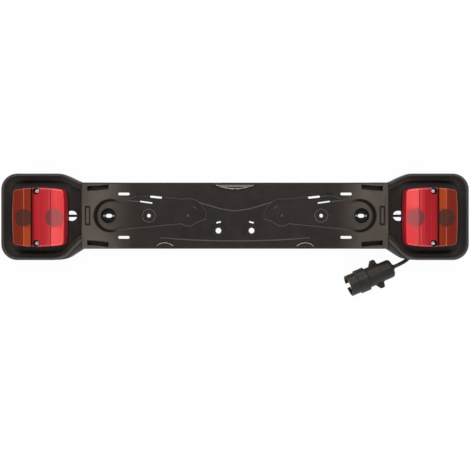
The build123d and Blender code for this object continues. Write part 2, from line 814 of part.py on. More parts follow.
main_cable_points = [
    on_plug_axis(cap_end - cap_floor), on_plug_axis(cap_end + cap_floor + seal_length), (305.0, -78.3, 7.6),
    (318.2, -62.7, 4.2), (319.0, -41.7, 3.7),
    (306.6, -24.7, 3.7), (287.3, -19.2, 3.7), (263.4, -20.9, 3.7), (239.0, -22.0, 3.7), (213.0, -24.5, 3.7),
    (186.5, -28.5, 3.8), (160.0, -33.5, 4.2), (134.0, -36.0, low_turn_z), (tail_x, -coil_r, low_turn_z)]
lamp_lead_points = [
    (tail_x, coil_r, high_turn_z), (126.0, coil_r, high_turn_z), (146.0, 42.5, 7.5), (172.0, 46.6, 4.2),
    (201.0, 46.2, 3.7), (230.0, 47.0, 3.7), (258.0, 46.2, 3.9), (284.0, 46.0, 4.7), (308.0, 45.2, 5.8),
    (327.0, 41.0, 6.4), (340.0, 31.0, cable_entry_z), (main_entry_x, 19.0, cable_entry_z),
    (main_entry_x, 6.2, cable_entry_z)]
link_half_route = [
    (grommet_spread / 2, 6.2, cable_entry_z), (grommet_spread / 2, 18.0, cable_entry_z),
    (13.5, 28.0, cable_entry_z), (24.5, 33.5, cable_entry_z), (39.5, 34.0, cable_entry_z), (59.5, 31.0, 6.8),
    (81.5, 25.5, 8.0), (101.5, 19.5, 9.8), (123.5, 16.0, 11.3), (143.5, 14.3, 14.2), (163.5, link_y, 17.2),
    (189.5, link_y, link_z)]
link_half_points = [(lamp_x - inwards, y, z) for inwards, y, z in link_half_route]
link_points = link_half_points + [(-x, y, z) for x, y, z in reversed(link_half_points)]


def cable_coil():
    """Wound length of the lead: four turns, two beside two, with both ends led off."""
    edge = cord_r / 2
    section = chamfer(Rectangle(2 * cord_d, 2 * cord_d).vertices(), edge)
    ring = revolve(Plane.XZ * Pos(coil_r, coil_bottom_z + cord_d) * section, Axis.Z)
    ends = []
    for y, z in ((-coil_r, low_turn_z), (coil_r, high_turn_z)):
        ends.append(Pos(0, y, z) * Rot(0, 90, 0) * Cylinder(
            cord_r, coil_tail, align=(Align.CENTER, Align.CENTER, Align.MIN)))
    return Pos(coil_x, 0, 0) * (ring + ends)


def cable_tie():
    """Band round the coil's turns."""
    inner_x = coil_x - coil_r + cord_d + slide_gap
    outer_x = coil_x - coil_r - cord_d - fit_gap
    low = coil_bottom_z - fit_gap
    high = coil_bottom_z + 2 * cord_d + fit_gap
    half = tie_width / 2
    band = block((outer_x - tie_thickness, inner_x + tie_thickness), (-half, half),
                 (low - tie_thickness, high + tie_thickness))
    return band - block((outer_x, inner_x), (-tie_width, tie_width), (low, high))


# Plug

def turned(lines):
    """Solid of revolution about X from a closed half section."""
    return revolve(Plane.XZ * make_face(lines), Axis.X)


def axial(start, end, radius):
    """Cylinder along the plug's axis between two distances from the front."""
    return Pos(-start, 0, 0) * Rot(0, -90, 0) * Cylinder(
        radius, end - start, align=(Align.CENTER, Align.CENTER, Align.MIN))


def plug_shell():
    """Front shroud with its key notch, collar, body and two ears."""
    bore = plug_shroud_r - plug_shroud_wall
    body_bore = plug_body_r - plug_body_wall
    shell = turned(Polyline(
        (0, bore), (0, plug_shroud_r), (-plug_shroud_length, plug_shroud_r),
        (-plug_shroud_length - plug_collar_front_slope, plug_collar_r), (-plug_collar_end, plug_collar_r),
        (-plug_collar_end - plug_collar_back_slope, plug_body_r), (-plug_body_end, plug_body_r),
        (-plug_body_end, body_bore),
        (-insert_back - fit_gap, body_bore), (-insert_back - fit_gap, bore), close=True))
    ear_root_r = plug_body_r - plug_ear_root
    ear = make_face(Polyline(
        (-plug_ear_start, ear_root_r), (-plug_ear_tip_start, plug_ear_reach),
        (-plug_ear_tip_end, plug_ear_reach), (-plug_ear_end, ear_root_r), close=True))
    ear = fillet(ear.vertices().group_by(Axis.Y)[-1], plug_ear_tip_r)
    ear = extrude(ear, amount=plug_ear_thickness / 2, both=True)
    shell += [ear, mirror(ear, about=Plane.XZ)]
    half = plug_notch_width / 2
    return shell - block((-plug_notch_length, beyond), (-half, half), (-plug_collar_r, -bore / 2))


def pin_axes():
    """Places of the seven pins: one in the middle and six round it."""
    turns = [2 * pi * i / pin_ring_count for i in range(pin_ring_count)]
    return [(0, 0)] + [(pin_circle_r * cos(turn), pin_circle_r * sin(turn)) for turn in turns]


def plug_insert():
    """Carrier of the pins, against the shoulder behind it."""
    disc = axial(insert_face, insert_back, insert_r)
    return disc - [Pos(0, y, z) * axial(insert_face, insert_back, pin_r + fit_gap) for y, z in pin_axes()]


def plug_pins():
    """Seven pins with chamfered tips."""
    pin = axial(pin_tip, insert_back + pin_tail, pin_r)
    pin = chamfer(pin.edges().group_by(Axis.X)[-1], pin_r / 3)
    pins = [Pos(0, y, z) * pin for y, z in pin_axes()]
    return Compound(pins)


def plug_cap():
    """Round rear cap."""
    bore = cap_r - cap_wall
    inner_end = cap_end - cap_floor
    outline = [
        Polyline((-cap_end, cap_bore_r), (-inner_end, cap_bore_r), (-inner_end + cap_wall, bore),
                 (-plug_body_end, bore), (-plug_body_end, cap_r), (-cap_shoulder, cap_r)),
        TangentArc((-cap_shoulder, cap_r), (-cap_end, cap_end_r), tangent=(-1, 0)),
        Line((-cap_end, cap_end_r), (-cap_end, cap_bore_r))]
    return turned(outline)


def plug_seal():
    """Rubber seal round the cable where it leaves the cap."""
    bore = cord_r + fit_gap
    seated = cap_end - seal_length / 2
    tip = seated + seal_length
    return turned(Polyline(
        (-seated, bore), (-seated, seal_r), (-cap_end, seal_r), (-tip, seal_tip_r), (-tip, bore), close=True))


# Every piece under its own name

def save(name, shape):
    """Write one piece, with the origin under the middle of the trays."""
    export_step(Pos(0, tray_drop, 0) * shape, f"parts/{name}.step")


os.makedirs("parts", exist_ok=True)
save("board_shell", board_shell())

red_lens, amber_lens = lens_pair()
lamp = {
    "lens_gasket": raised(lens_face(0) - lens_face(gasket_width), base_top, lens_bottom),
    "red_lens": red_lens,
    "amber_lens": amber_lens,
    "lens_screws": Compound([lens_screw(x, y) for x, y in lens_screws_at]),
    "reflector": reflector(),
    "lamp_bolts": Compound([lamp_bolt(x, y) for x, y in lamp_bolts_at]),
    "lamp_nuts": Compound([lamp_nut(x, y) for x, y in lamp_bolts_at]),
    "link_grommet": grommet(link_entry_x),
}
for use, x in bulbs_at.items():
    lamp[f"{use}_bulb"] = bulb(x)
    lamp[f"{use}_holder"] = bulb_holder(x)
for name, shape in lamp.items():
    save(f"right_{name}", shape)
    save(f"left_{name}", mirror(shape, about=Plane.YZ))
save("right_lamp_base", lamp_base([link_entry_x, main_entry_x]))
save("left_lamp_base", mirror(lamp_base([link_entry_x]), about=Plane.YZ))
save("right_main_grommet", grommet(main_entry_x))

save("link_cable", cable(link_points))
save("main_cable", cable(main_cable_points))
save("lamp_lead", cable(lamp_lead_points))
save("cable_coil", cable_coil())
save("cable_tie", cable_tie())
for name, shape in {"plug_shell": plug_shell(), "plug_insert": plug_insert(), "plug_pins": plug_pins(),
                    "plug_cap": plug_cap(), "plug_seal": plug_seal()}.items():
    save(name, plug_place * shape)
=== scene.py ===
from math import atan, cos, pi, radians, sin

import bmesh
import bpy
from mathutils import Matrix, Vector


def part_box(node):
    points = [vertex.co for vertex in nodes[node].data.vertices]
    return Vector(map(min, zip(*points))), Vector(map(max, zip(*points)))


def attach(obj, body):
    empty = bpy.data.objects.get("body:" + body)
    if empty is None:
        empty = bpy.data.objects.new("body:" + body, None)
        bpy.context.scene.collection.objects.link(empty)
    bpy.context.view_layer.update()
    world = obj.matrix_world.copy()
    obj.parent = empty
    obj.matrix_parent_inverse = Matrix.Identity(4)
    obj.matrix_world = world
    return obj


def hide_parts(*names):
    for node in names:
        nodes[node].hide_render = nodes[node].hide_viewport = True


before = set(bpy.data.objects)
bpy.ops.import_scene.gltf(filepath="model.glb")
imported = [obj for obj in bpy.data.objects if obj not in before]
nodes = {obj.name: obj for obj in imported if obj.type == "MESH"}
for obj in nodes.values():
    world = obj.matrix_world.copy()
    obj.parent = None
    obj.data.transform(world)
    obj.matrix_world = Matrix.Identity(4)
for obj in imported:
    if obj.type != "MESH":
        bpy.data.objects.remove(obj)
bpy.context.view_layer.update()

sides = ("left", "right")
scene = bpy.context.scene
scene.view_settings.view_transform = "Standard"

# Main places of the board, in metres: X along it, Y up it, Z out of its face
board_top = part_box("board_shell")[1]
rim_z = board_top.z
tray_length = 0.1375
step_x = board_top.x - tray_length
middle_y = 0.0023
panel_z = 0.028
panel_end_z = 0.033
tray_floor_z = 0.016
clip_top_z = 0.0335

# Camera, square over the board
camera_distance = 1.6
view_half_width = 0.41125
camera_y = -0.03155

camera_data = bpy.data.cameras.new("camera")
camera_data.sensor_fit = "HORIZONTAL"
camera_data.angle = 2 * atan(view_half_width / camera_distance)
camera = bpy.data.objects.new("camera", camera_data)
camera.location = (0, camera_y, panel_z + camera_distance)
scene.collection.objects.link(camera)
scene.camera = camera

# The lead: route points in millimetres, Y from the panel's middle, from the right lamp to the plug
cord_d = 6.5
cord_round_steps = 5
cord_point_steps = 8
cord_spline_order = 3
coil_x = 81.0
coil_inner_r = 28.9
coil_layer_turns = 2.25
coil_turn_points = 16
coil_low_z = 4.75
coil_high_z = 11.25
lamp_lead_route = [
    (346.0, 6.2, 6.6), (346.0, 19.0, 6.6), (340.0, 31.0, 6.6), (327.0, 41.0, 6.4), (308.0, 45.2, 5.8),
    (284.0, 46.0, 4.7), (258.0, 46.2, 3.9), (230.0, 47.0, 3.7), (201.0, 46.2, 3.7), (172.0, 46.6, 4.2),
    (146.0, 45.5, 7.5), (126.0, 44.0, coil_high_z), (103.5, 43.5, coil_high_z)]
main_route = [
    (103.5, -43.5, coil_low_z), (134.0, -38.5, coil_low_z), (160.0, -33.5, 4.2), (186.5, -28.5, 3.8),
    (213.0, -24.5, 3.7), (239.0, -22.0, 3.7), (263.4, -20.9, 3.7), (287.3, -19.2, 3.7), (306.6, -24.7, 3.7),
    (319.0, -41.7, 3.7), (318.2, -62.7, 4.2), (305.0, -78.3, 7.6), (288.35, -86.57, 14.48),
    (271.81, -93.42, 16.31)]


def coil_route():
    """Turns of the coil: inwards on the upper layer, then outwards on the lower one."""
    steps = round(coil_layer_turns * coil_turn_points)
    points = []
    for layer_z, inwards in ((coil_high_z, True), (coil_low_z, False)):
        for i in range(steps + 1):
            done = i / steps
            wound = (1 - done) if inwards else done
            radius = coil_inner_r + wound * coil_layer_turns * cord_d
            turn = (done if inwards else 1 + done) * coil_layer_turns
            angle = pi / 2 + 2 * pi * turn
            points.append((coil_x + radius * cos(angle), radius * sin(angle), layer_z))
    return points


def metres(point):
    """A route point in the scene's frame."""
    x, y, z = point
    return (x / 1000, y / 1000 + middle_y, z / 1000)


def make_cord(name, route, diameter):
    """Round cord along one smooth spline."""
    curve = bpy.data.curves.new(name, "CURVE")
    curve.dimensions = "3D"
    # Each point's radius scales this bevel to the cord's own
    curve.bevel_depth = 1
    curve.bevel_resolution = cord_round_steps
    curve.use_fill_caps = True
    spline = curve.splines.new("NURBS")
    spline.points.add(len(route) - 1)
    for place, point in zip(spline.points, route):
        place.co = (*point, 1)
        place.radius = diameter / 2
    spline.order_u = cord_spline_order
    spline.use_endpoint_u = True
    spline.resolution_u = cord_point_steps
    piece = bpy.data.objects.new(name, curve)
    scene.collection.objects.link(piece)
    return piece


lead_route = [metres(p) for p in lamp_lead_route + coil_route() + main_route]
lead = make_cord("lead", lead_route, cord_d / 1000)
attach(lead, "root")
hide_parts("main_cable", "cable_coil", "lamp_lead")

# Materials: one graph of shader nodes each
noise_span = (0.3, 0.7)
upright_slope = (0.02, 0.08)


class Graph:
    """Small helper that adds shader nodes, joins them and keeps the colour and gloss made so far."""

    mix_first = 6
    mix_second = 7
    mix_result = 2

    def __init__(self, name):
        self.material = bpy.data.materials.new(name)
        self.material.use_nodes = True
        self.tree = self.material.node_tree
        self.shader = self.tree.nodes["Principled BSDF"]
        self.output = self.tree.nodes["Material Output"]
        self.axes = {}
        self.colour = None
        self.gloss = None

    def add(self, kind, **settings):
        node = self.tree.nodes.new(kind)
        for key, value in settings.items():
            setattr(node, key, value)
        return node

    def join(self, source, target):
        self.tree.links.new(source, target)

    def set(self, **values):
        """Plain numbers on the shader's own sockets, with _ for each space in a socket's name."""
        for key, value in values.items():
            self.shader.inputs[key.replace("_", " ")].default_value = value

    def place(self):
        """Object coordinates, which are the part's own frame in metres."""
        return self.add("ShaderNodeTexCoord").outputs["Object"]

    def axis(self, letter):
        if letter not in self.axes:
            split = self.add("ShaderNodeSeparateXYZ")
            self.join(self.place(), split.inputs[0])
            self.axes[letter] = split.outputs[letter]
        return self.axes[letter]

    def side(self):
        """Distance from the board's middle, the same on both halves."""
        if "side" not in self.axes:
            self.axes["side"] = self.math("ABSOLUTE", self.axis("X"))
        return self.axes["side"]

    def distance(self, x, y):
        """Distance from a point on each half, seen from the front."""
        across = self.math("SUBTRACT", self.side(), x)
        up = self.math("SUBTRACT", self.axis("Y"), y)
        return self.math("SQRT", self.math("ADD", self.both(across, across), self.both(up, up)))

    def facing_up(self):
        """One on faces that look up, nothing on upright ones and below."""
        split = self.add("ShaderNodeSeparateXYZ")
        self.join(self.add("ShaderNodeNewGeometry").outputs["Normal"], split.inputs[0])
        return self.rise(split.outputs["Z"], upright_slope)

    def noise(self, scale, detail=3.0, stretch=(1, 1, 1)):
        mapping = self.add("ShaderNodeMapping")
        mapping.inputs["Scale"].default_value = stretch
        self.join(self.place(), mapping.inputs["Vector"])
        node = self.add("ShaderNodeTexNoise")
        node.inputs["Scale"].default_value = scale
        node.inputs["Detail"].default_value = detail
        self.join(mapping.outputs[0], node.inputs["Vector"])
        return node.outputs["Fac"]

    def math(self, operation, first, second=None, clamp=False):
        node = self.add("ShaderNodeMath", operation=operation, use_clamp=clamp)
        for socket, value in zip(node.inputs, (first, second)):
            if value is None:
                continue
            if isinstance(value, (int, float)):
                socket.default_value = value
            else:
                self.join(value, socket)
        return node.outputs[0]

    def both(self, *shares):
        """Product of several shares."""
        product = shares[0]
        for share in shares[1:]:
            product = self.math("MULTIPLY", product, share)
        return product

    def ramp(self, value, low, high, start=0.0, end=1.0):
        """Value from start to end taken to the range low to high, smoothly."""
        node = self.add("ShaderNodeMapRange", interpolation_type="SMOOTHSTEP")
        self.join(value, node.inputs["Value"])
        for key, number in (("From Min", start), ("From Max", end), ("To Min", low), ("To Max", high)):
            node.inputs[key].default_value = number
        return node.outputs["Result"]

    def rise(self, value, span):
        """Nothing before a span of values, one after it."""
        return self.ramp(value, 0.0, 1.0, *span)

    def fall(self, value, span):
        """One before a span of values, nothing after it."""
        return self.ramp(value, 1.0, 0.0, *span)

    def band(self, value, span, edge):
        """One within a span of values, falling to nothing over an edge on both sides."""
        low, high = span
        return self.both(self.rise(value, (low - edge, low)), self.fall(value, (high, high + edge)))

    def wave(self, value, pitch, low, high):
        """Even waves along a value."""
        turn = self.math("MULTIPLY", value, 2 * pi / pitch)
        return self.ramp(self.math("SINE", turn), low, high, -1.0, 1.0)

    def mottle(self, low, high, scale, detail=3.0, stretch=(1, 1, 1)):
        """Cloudy values from low to high."""
        return self.ramp(self.noise(scale, detail, stretch), low, high, *noise_span)

    def mix(self, share, first, second):
        node = self.add("ShaderNodeMix", data_type="RGBA")
        self.join(share, node.inputs["Factor"])
        for index, value in ((self.mix_first, first), (self.mix_second, second)):
            if isinstance(value, tuple):
                node.inputs[index].default_value = (*value, 1)
            else:
                self.join(value, node.inputs[index])
        return node.outputs[self.mix_result]

    def paint(self, share, colour):
        """Lay a colour over what is there."""
        self.colour = self.mix(share, self.colour, colour)

    def roughen(self, height, distance, strength):
        """Bump of the surface."""
        node = self.add("ShaderNodeBump")
        node.inputs["Strength"].default_value = strength
        node.inputs["Distance"].default_value = distance
        self.join(height, node.inputs["Height"])
        self.join(node.outputs["Normal"], self.shader.inputs["Normal"])

    def close(self):
        """Join the colour and gloss made so far to the shader."""
        self.join(self.colour, self.shader.inputs["Base Color"])
        self.join(self.gloss, self.shader.inputs["Roughness"])


def dress(graph, *names):
    """Give CAD nodes a material."""
    for name in names:
        data = nodes[name].data
        data.materials.clear()
        data.materials.append(graph.material)


def lamp_nodes(*names):
    """Names of nodes that both lamps have."""
    return [f"{side}_{name}" for side in sides for name in names]


# Moulded plastics and rubber
cloud_scale = 14.0
cloud_detail = 4.0
gloss_scale = 60.0
gloss_spread = (-0.04, 0.06)
grain_scale = 1400.0
grain_detail = 2.0
grain_strength = 0.35
plastic_grain = 0.00012
glass_grain = 0.00002


def moulded_plastic(name, dark, light, roughness, grain=plastic_grain):
    """Moulded plastic: slight cloudiness, uneven gloss and a fine grain."""
    g = Graph(name)
    g.colour = g.mix(g.mottle(0.0, 1.0, cloud_scale, cloud_detail), dark, light)
    g.gloss = g.mottle(*[roughness + change for change in gloss_spread], gloss_scale)
    g.roughen(g.noise(grain_scale, grain_detail), grain, grain_strength)
    g.close()
    return g


lamp_black = moulded_plastic("lamp_plastic", (0.010, 0.010, 0.010), (0.016, 0.016, 0.016), roughness=0.5)
dress(lamp_black, *lamp_nodes("lamp_base"))
rubber = moulded_plastic("seal_rubber", (0.010, 0.010, 0.010), (0.018, 0.018, 0.018), roughness=0.7)
dress(rubber, "plug_seal", "right_main_grommet", *lamp_nodes("lens_gasket", "link_grommet"))
sheath = moulded_plastic("cable_sheath", (0.012, 0.011, 0.010), (0.020, 0.018, 0.017), roughness=0.45)
lead.data.materials.append(sheath.material)
dress(sheath, "link_cable")
tie = moulded_plastic("tie_plastic", (0.012, 0.012, 0.012), (0.02, 0.02, 0.02), roughness=0.4)
dress(tie, "cable_tie")
plug_black = moulded_plastic("plug_plastic", (0.0120, 0.0082, 0.0058), (0.0175, 0.0126, 0.0096),
                             roughness=0.46)
plug_black.set(Specular_IOR_Level=0.3)
dress(plug_black, "plug_shell", "plug_insert", "plug_cap")
glass = moulded_plastic("bulb_glass", (0.05, 0.045, 0.04), (0.08, 0.075, 0.07), roughness=0.12,
                        grain=glass_grain)
dress(glass, *lamp_nodes("stop_tail_bulb", "indicator_bulb"))

# The panel's painted light: painted sheen where it rises to the trays, painted highlights on pressed edges
# and lines, painted shade on the top edge (x counts from the middle to either side)
level_end_xs = (0.172, 0.178)
painted_sheen = (0.089, 0.072, 0.058)
sheen_start_xs = (0.172, 0.235)
sheen_end_xs = (step_x - 0.001, step_x + 0.001)
sheen_zs = (panel_z - 0.0030, panel_z - 0.0016)
sheen_shares = (0.6, 1.0)
sheen_cloud_scale = 22.0
sheen_stretch = (1, 0.5, 1)
edge_highlight_grey = (0.062, 0.056, 0.051)
edge_highlight_end_xs = (0.185, 0.205)
pressed_edge_zs = (panel_z - 0.0011, panel_z - 0.0001)
pressed_edge_soft = 0.00005
panel_face_ys = (middle_y - 0.0553, middle_y + 0.0553)
panel_face_soft = 0.0004
line_top_zs = (panel_z + 0.0003, panel_z + 0.0009)
line_top_soft = 0.0001
centre_hole_x = 0.029
centre_hole_y = middle_y - 0.0262
centre_dish_rs = (0.0152, 0.0158)
centre_dish_share = 0.25
top_edge_shade = (0.0062, 0.0053, 0.0048)
top_edge_ys = (middle_y + 0.0555, middle_y + 0.0563)
top_edge_zs = (panel_z - 0.0030, panel_z - 0.0024)


def paint_panel(g):
    """Painted sheen where the panel rises to the trays, painted highlights on the pressings' edges and the
    lines, painted shade on the top edge.
    """
    rising = g.both(g.rise(g.side(), sheen_start_xs), g.fall(g.side(), sheen_end_xs))
    cloud = g.mottle(*sheen_shares, sheen_cloud_scale, cloud_detail, sheen_stretch)
    # Painted sheen: the panel is painted lighter, in clouds, where it rises to the trays
    g.paint(g.both(rising, cloud, g.rise(g.axis("Z"), sheen_zs)), painted_sheen)
    dish = g.ramp(g.distance(centre_hole_x, centre_hole_y), centre_dish_share, 1.0, *centre_dish_rs)
    face = g.band(g.axis("Y"), panel_face_ys, panel_face_soft)
    pressed_edges = g.both(dish, face, g.band(g.axis("Z"), pressed_edge_zs, pressed_edge_soft))
    line_tops = g.both(g.fall(g.side(), level_end_xs), g.band(g.axis("Z"), line_top_zs, line_top_soft))
    highlight_lines = g.math("ADD", pressed_edges, line_tops, clamp=True)
    # Painted highlights: the pressings' edges and the lines' tops are painted lighter, fading out towards the
    # trays
    g.paint(g.both(highlight_lines, g.fall(g.side(), edge_highlight_end_xs)), edge_highlight_grey)
    # Painted shade: the panel's top edge is painted dark
    g.paint(g.both(g.rise(g.axis("Y"), top_edge_ys), g.rise(g.axis("Z"), top_edge_zs)), top_edge_shade)


# Painted highlights on the plate clips' edges and on the upper clip's face
clip_edge_highlight = (0.42, 0.40, 0.38)
clip_edge_ys = (middle_y - 0.0527, middle_y + 0.0533)
clip_edge_zs = (clip_top_z - 0.0013, clip_top_z - 0.00012)
clip_edge_soft_y = 0.0004
clip_edge_soft_z = 0.0001
clip_face_highlight = (0.15, 0.14, 0.132)
clip_face_ys = (middle_y + 0.0501, middle_y + 0.0531)
clip_face_soft = 0.0003
clip_face_zs = (clip_top_z - 0.0003, clip_top_z - 0.0001)


def paint_clips(g):
    """Painted highlights: light edges on the clips and a grey band on the upper one."""
    level_part = g.fall(g.side(), level_end_xs)
    edges = g.both(g.band(g.axis("Z"), clip_edge_zs, clip_edge_soft_z),
                   g.band(g.axis("Y"), clip_edge_ys, clip_edge_soft_y))
    # Painted highlight along the clips' edges
    g.paint(g.both(level_part, edges), clip_edge_highlight)
    face = g.both(g.rise(g.axis("Z"), clip_face_zs), g.band(g.axis("Y"), clip_face_ys, clip_face_soft))
    # Painted highlight as a grey band on the upper clip's face
    g.paint(g.both(level_part, face), clip_face_highlight)


# The crescent of shade beside each cup
cup_x = step_x - 0.0455
cup_r = 0.0134
crescent_black = (0.003, 0.0025, 0.002)
crescent_roughness = 0.9
crescent_inner_x = cup_x - 0.0060
crescent_inner_rs = (0.0236, 0.0258)
crescent_outer_x = cup_x - 0.0042
crescent_outer_rs = (0.0284, 0.0306)
crescent_start_xs = (cup_x - 0.026, cup_x - 0.006)


def paint_crescents(g):
    """Dark, dull crescent where the pressed shape turns round each cup."""
    crescent = g.both(g.rise(g.distance(crescent_inner_x, middle_y), crescent_inner_rs),
                      g.fall(g.distance(crescent_outer_x, middle_y), crescent_outer_rs),
                      g.rise(g.side(), crescent_start_xs))
    g.paint(crescent, crescent_black)
    g.gloss = g.math("MAXIMUM", g.gloss, g.math("MULTIPLY", crescent, crescent_roughness))


# Painted shade and painted light in the trays, pads, strap slots and cups
low_zs = (tray_floor_z + 0.0025, tray_floor_z + 0.0095)
hollow_shade = (0.0150, 0.0102, 0.0078)
lamp_surround_shade = (0.040, 0.034, 0.030)
lamp_surround_xs = (step_x + 0.0165, step_x + 0.0315)
pad_xs = (step_x - 0.0155, step_x - 0.0049)
pad_soft = 0.0003
pad_zs = (panel_end_z - 0.0016, panel_end_z - 0.0010)
strap_slot_painted_light = (0.055, 0.048, 0.042)
strap_slot_xs = (step_x - 0.047, step_x - 0.009)
strap_slot_reaches = (0.0385, 0.0506)
strap_slot_soft = 0.0005
wall_foot_painted_light = (0.105, 0.091, 0.081)
wall_head_painted_light = (0.044, 0.038, 0.034)
wall_start_xs = (step_x + 0.001, step_x + 0.0025)
wall_zs = (tray_floor_z + 0.0018, rim_z - 0.0020)
wall_soft = 0.0015
wall_fade_zs = (tray_floor_z + 0.0040, rim_z - 0.0080)
cup_painted_shade = (0.004, 0.0036, 0.0033)
cup_rs = (cup_r + 0.0002, cup_r + 0.0008)
wing_glint = (0.34, 0.32, 0.31)
wing_zs = (0.0166, 0.0176)
wing_soft = 0.0003
wing_rs = (0.011, 0.012)


def paint_hollows(g):
    """Painted shade on tray floors, pad grooves and cups, painted light in the strap slots and on the tray
    walls, painted glints on the wings of the cups' slots.
    """
    low = g.fall(g.axis("Z"), low_zs)
    open_side = g.facing_up()
    pads = g.both(g.band(g.side(), pad_xs, pad_soft), g.fall(g.axis("Z"), pad_zs))
    deep = g.math("MAXIMUM", g.both(low, open_side), pads)
    # Painted shade on the low floors that face up and in the pad grooves, lighter round the lamps
    g.paint(deep, g.mix(g.rise(g.side(), lamp_surround_xs), hollow_shade, lamp_surround_shade))
    reach = g.math("ABSOLUTE", g.math("SUBTRACT", g.axis("Y"), middle_y))
    strap_slots = g.both(low, g.band(g.side(), strap_slot_xs, strap_slot_soft),
                         g.band(reach, strap_slot_reaches, strap_slot_soft))
    # Painted light: the deep strap slots are painted lighter, against their shade
    g.paint(strap_slots, strap_slot_painted_light)
    walls = g.both(g.rise(g.side(), wall_start_xs), g.band(g.axis("Z"), wall_zs, wall_soft), open_side)
    # Painted light: the tray walls are painted lighter, most at their foot, against the shade that falls
    # there
    g.paint(walls, g.mix(g.rise(g.axis("Z"), wall_fade_zs), wall_foot_painted_light, wall_head_painted_light))
    from_cup = g.distance(cup_x, middle_y)
    # Painted shade inside the cups
    g.paint(g.both(low, g.fall(from_cup, cup_rs)), cup_painted_shade)
    # Painted glints on the wings round the cups' slots
    g.paint(g.both(g.band(g.axis("Z"), wing_zs, wing_soft), g.fall(from_cup, wing_rs)), wing_glint)


# The board, with a painted highlight round the trays' rims
rim_highlight = (0.062, 0.057, 0.053)
rim_line_zs = (rim_z - 0.0016, rim_z - 0.0001)
rim_line_soft = 0.0002


def board_plastic():
    """Black moulding, with the painted light and shade, and the gloss, of each of its features."""
    g = moulded_plastic("board_plastic", (0.0138, 0.0098, 0.0074), (0.0178, 0.0128, 0.0102), roughness=0.38)
    paint_panel(g)
    paint_clips(g)
    # Painted highlight: a lighter line round the trays' rims
    g.paint(g.band(g.axis("Z"), rim_line_zs, rim_line_soft), rim_highlight)
    paint_crescents(g)
    paint_hollows(g)
    g.close()
    g.set(Specular_IOR_Level=0.22)
    return g


dress(board_plastic(), "board_shell")

# Metals
scuff_scale = 220.0
scuff_detail = 4.0
polish_scale = 90.0
polish_spread = (-0.05, 0.1)


def metal(name, dark, light, roughness, metallic=1.0):
    """Plated or bare metal with fine scuffs."""
    g = Graph(name)
    g.colour = g.mix(g.mottle(0.0, 1.0, scuff_scale, scuff_detail), dark, light)
    g.gloss = g.mottle(*[roughness + change for change in polish_spread], polish_scale)
    g.close()
    g.set(Metallic=metallic)
    return g


steel = metal("bolt_steel", (0.55, 0.53, 0.50), (0.72, 0.70, 0.67), roughness=0.3)
dress(steel, *lamp_nodes("lamp_bolts", "lamp_nuts"))
holder = metal("holder_steel", (0.45, 0.43, 0.40), (0.6, 0.58, 0.55), roughness=0.35)
dress(holder, *lamp_nodes("stop_tail_holder", "indicator_holder"))
sheet = metal("reflector_sheet", (0.75, 0.75, 0.75), (0.9, 0.9, 0.9), roughness=0.25)
dress(sheet, *lamp_nodes("reflector"))
brass = metal("pin_brass", (0.55, 0.30, 0.14), (0.78, 0.50, 0.28), roughness=0.25)
dress(brass, "plug_pins")

# Lens screws: domed pan heads with a cross recess, in place of the plain ones
dome_drop = 0.0007
head_height = 0.0026
shank_share = 0.53
recess_reach = 0.62
recess_width = 0.14
recess_depth = 0.0008
screw_steps = 48
dome_rings = 10
screw_crease = 35
weld_distance = 1e-6


def turned(profile):
    """Closed mesh of a profile of radius and height turned about Z."""
    mesh = bmesh.new()
    line = [mesh.verts.new((radius, 0, level)) for radius, level in profile]
    edges = [mesh.edges.new(pair) for pair in zip(line, line[1:])]
    bmesh.ops.spin(mesh, geom=line + edges, axis=(0, 0, 1), cent=(0, 0, 0), angle=2 * pi, steps=screw_steps)
    bmesh.ops.remove_doubles(mesh, verts=mesh.verts, dist=weld_distance)
    bmesh.ops.recalc_face_normals(mesh, faces=mesh.faces)
    return mesh


def screw_profile(head_r, top, bottom):
    """Half section of a screw, from the middle of its dome to its tip."""
    shares = [i / dome_rings for i in range(dome_rings + 1)]
    dome = [(head_r * s, top - dome_drop * s * s) for s in shares]
    under = top - head_height
    shank_r = head_r * shank_share
    return dome + [(head_r, under), (shank_r, under), (shank_r, bottom), (0, bottom)]


def add_piece(name, mesh):
    """Object in the scene, made from a bmesh."""
    data = bpy.data.meshes.new(name)
    mesh.to_mesh(data)
    piece = bpy.data.objects.new(name, data)
    scene.collection.objects.link(piece)
    return piece


def cut_away(piece, tool):
    """Take one object's shape out of another, and remove the tool."""
    cut = piece.modifiers.new("recess", "BOOLEAN")
    cut.object = tool
    cut.use_self = True
    bpy.context.view_layer.update()
    piece.data = bpy.data.meshes.new_from_object(piece.evaluated_get(bpy.context.evaluated_depsgraph_get()))
    piece.modifiers.clear()
    bpy.data.objects.remove(tool)


def screw_places(name):
    """Radius of the heads in a node of two screws, and where their middles are."""
    low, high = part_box(name)
    head_r = (high.x - low.x) / 2
    x = (low.x + high.x) / 2
    return head_r, [(x, low.y + head_r), (x, high.y - head_r)]


def lens_screws(name):
    """The two screws of one lens, at the places of their CAD node."""
    low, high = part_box(name)
    head_r, places = screw_places(name)
    screws = bmesh.new()
    cutter = bmesh.new()
    for x, y in places:
        place = Matrix.Translation((x, y, 0))
        screw = turned(screw_profile(head_r, high.z, low.z))
        screw.transform(place)
        body = bpy.data.meshes.new("screw")
        screw.to_mesh(body)
        screws.from_mesh(body)
        for reach, width in ((recess_reach, recess_width), (recess_width, recess_reach)):
            bar = Matrix.Diagonal((2 * reach * head_r, 2 * width * head_r, 2 * recess_depth, 1))
            bmesh.ops.create_cube(cutter, size=1, matrix=place @ Matrix.Translation((0, 0, high.z)) @ bar)
    piece = add_piece(f"{name}_dressed", screws)
    cut_away(piece, add_piece(f"{name}_cutter", cutter))
    piece.data.shade_smooth()
    piece.data.set_sharp_from_angle(angle=radians(screw_crease))
    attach(piece, "root")
    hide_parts(name)
    return piece


